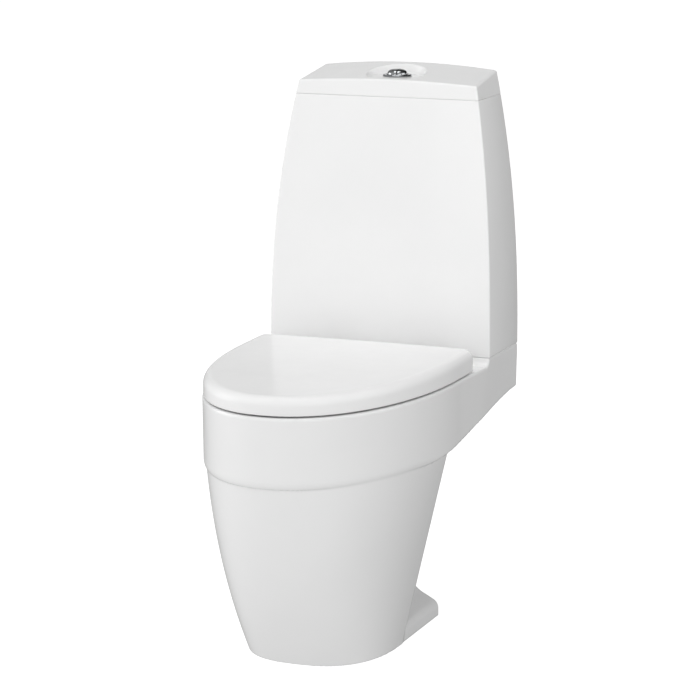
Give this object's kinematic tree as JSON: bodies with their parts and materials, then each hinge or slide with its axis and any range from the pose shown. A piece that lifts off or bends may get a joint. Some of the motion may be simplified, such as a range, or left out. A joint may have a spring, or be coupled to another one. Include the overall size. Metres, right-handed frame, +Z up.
{
  "type": "close coupled toilet",
  "caption": "Close coupled washdown toilet: tapered pan with a banded rim, barrel-sided cistern on its rear shelf with a top dual flush button, hinged seat and wrap-over cover.",
  "frame": {"origin": "on the floor, in the middle of the footprint", "axes": "+Z up, -Y towards the front of the bowl, +Y towards the wall, +X to the right when facing the wall"},
  "size_m": [0.3664, 0.605, 0.8493],
  "materials": {
    "china": "glossy white glaze",
    "duroplast": "polished white thermoset",
    "chrome": "bright chrome",
    "steel": "zinc-plated or stainless steel",
    "brass": "plain brass",
    "rubber": "matt black rubber",
    "buffer": "soft translucent white",
    "white_plastic": "satin white moulding",
    "blue_plastic": "satin blue moulding",
    "grey_plastic": "satin grey moulding"
  },
  "bodies": {
    "frame": {"pan": "china", "cistern": "china", "flush_valve_body": "blue_plastic", "flush_valve_head": "white_plastic", "flush_valve_washer": "rubber", "flush_valve_nut": "white_plastic", "cistern_gasket": "rubber", "fill_valve_body": "white_plastic", "fill_valve_head": "blue_plastic", "fill_valve_washer": "rubber", "fill_valve_nut": "white_plastic", "float_lever_pin": "steel", "coupling_bolt_left": "brass", "coupling_seal_left": "rubber", "coupling_plate_left": "steel", "coupling_wing_nut_left": "brass", "hinge_post_left": "chrome", "hinge_pad_left": "rubber", "hinge_pin_left": "steel", "hinge_stud_left": "steel", "hinge_nut_left": "white_plastic", "floor_screw_left": "steel", "floor_screw_bush_left": "white_plastic", "floor_screw_cap_left": "white_plastic", "coupling_bolt_right": "brass", "coupling_seal_right": "rubber", "coupling_plate_right": "steel", "coupling_wing_nut_right": "brass", "hinge_post_right": "chrome", "hinge_pad_right": "rubber", "hinge_pin_right": "steel", "hinge_stud_right": "steel", "hinge_nut_right": "white_plastic", "floor_screw_right": "steel", "floor_screw_bush_right": "white_plastic", "floor_screw_cap_right": "white_plastic"},
    "cistern_lid": {"cistern_lid": "china", "button_bezel": "chrome", "bezel_nut": "white_plastic"},
    "full_flush_button": {"full_flush_button": "chrome", "full_flush_rod": "white_plastic"},
    "half_flush_button": {"half_flush_button": "chrome", "half_flush_rod": "white_plastic"},
    "full_flush_plunger": {"full_flush_plunger": "grey_plastic"},
    "half_flush_plunger": {"half_flush_plunger": "grey_plastic"},
    "lift_tube": {"flush_lift_tube": "grey_plastic", "flush_valve_seal": "rubber"},
    "float": {"float_cup": "white_plastic", "float_link": "grey_plastic"},
    "float_lever": {"float_lever": "grey_plastic"},
    "seat": {"seat_ring": "duroplast", "seat_buffer_front_left": "buffer", "seat_buffer_front_right": "buffer", "seat_buffer_rear_left": "buffer", "seat_buffer_rear_right": "buffer"},
    "cover": {"seat_cover": "duroplast", "cover_buffer_left": "buffer", "cover_buffer_right": "buffer"}
  },
  "joints": [
    {"name": "seat_hinge", "type": "hinge", "parent": "frame", "child": "seat", "pos_m": [0, 0.0995, 0.418], "axis": [-1, 0, 0], "range_deg": [0, 95]},
    {"name": "cover_hinge", "type": "hinge", "parent": "seat", "child": "cover", "pos_m": [0, 0.0995, 0.418], "axis": [1, 0, 0], "range_deg": [-96, 0]},
    {"name": "cistern_lid_lift", "type": "slide", "parent": "frame", "child": "cistern_lid", "axis": [0, 0, 1], "range_m": [0, 0.16]},
    {"name": "full_flush_press", "type": "slide", "parent": "cistern_lid", "child": "full_flush_button", "axis": [0, 0, -1], "range_m": [0, 0.006], "stiffness_N_per_m": 200, "springref_m": -0.012},
    {"name": "half_flush_press", "type": "slide", "parent": "cistern_lid", "child": "half_flush_button", "axis": [0, 0, -1], "range_m": [0, 0.006], "stiffness_N_per_m": 200, "springref_m": -0.012},
    {"name": "full_plunger_press", "type": "slide", "parent": "frame", "child": "full_flush_plunger", "axis": [0, 0, -1], "range_m": [0, 0.0061]},
    {"name": "half_plunger_press", "type": "slide", "parent": "frame", "child": "half_flush_plunger", "axis": [0, 0, -1], "range_m": [0, 0.0061]},
    {"name": "valve_lift", "type": "slide", "parent": "frame", "child": "lift_tube", "axis": [0, 0, 1], "range_m": [0, 0.0201]},
    {"name": "float_rise", "type": "slide", "parent": "frame", "child": "float", "axis": [0, 0, 1], "range_m": [0, 0.025]},
    {"name": "float_lever_turn", "type": "hinge", "parent": "frame", "child": "float_lever", "pos_m": [-0.145, 0.2405, 0.7075], "axis": [0, -1, 0], "range_deg": [0, 36.1]}
  ],
  "couplings": [
    {"joint": "full_plunger_press", "follows": "full_flush_press", "ratio": 1},
    {"joint": "valve_lift", "follows": "full_flush_press", "ratio": 3.3333},
    {"joint": "half_plunger_press", "follows": "half_flush_press", "ratio": 1},
    {"joint": "float_lever_turn", "follows": "float_rise", "rad_per_m": 25.13}
  ]
}
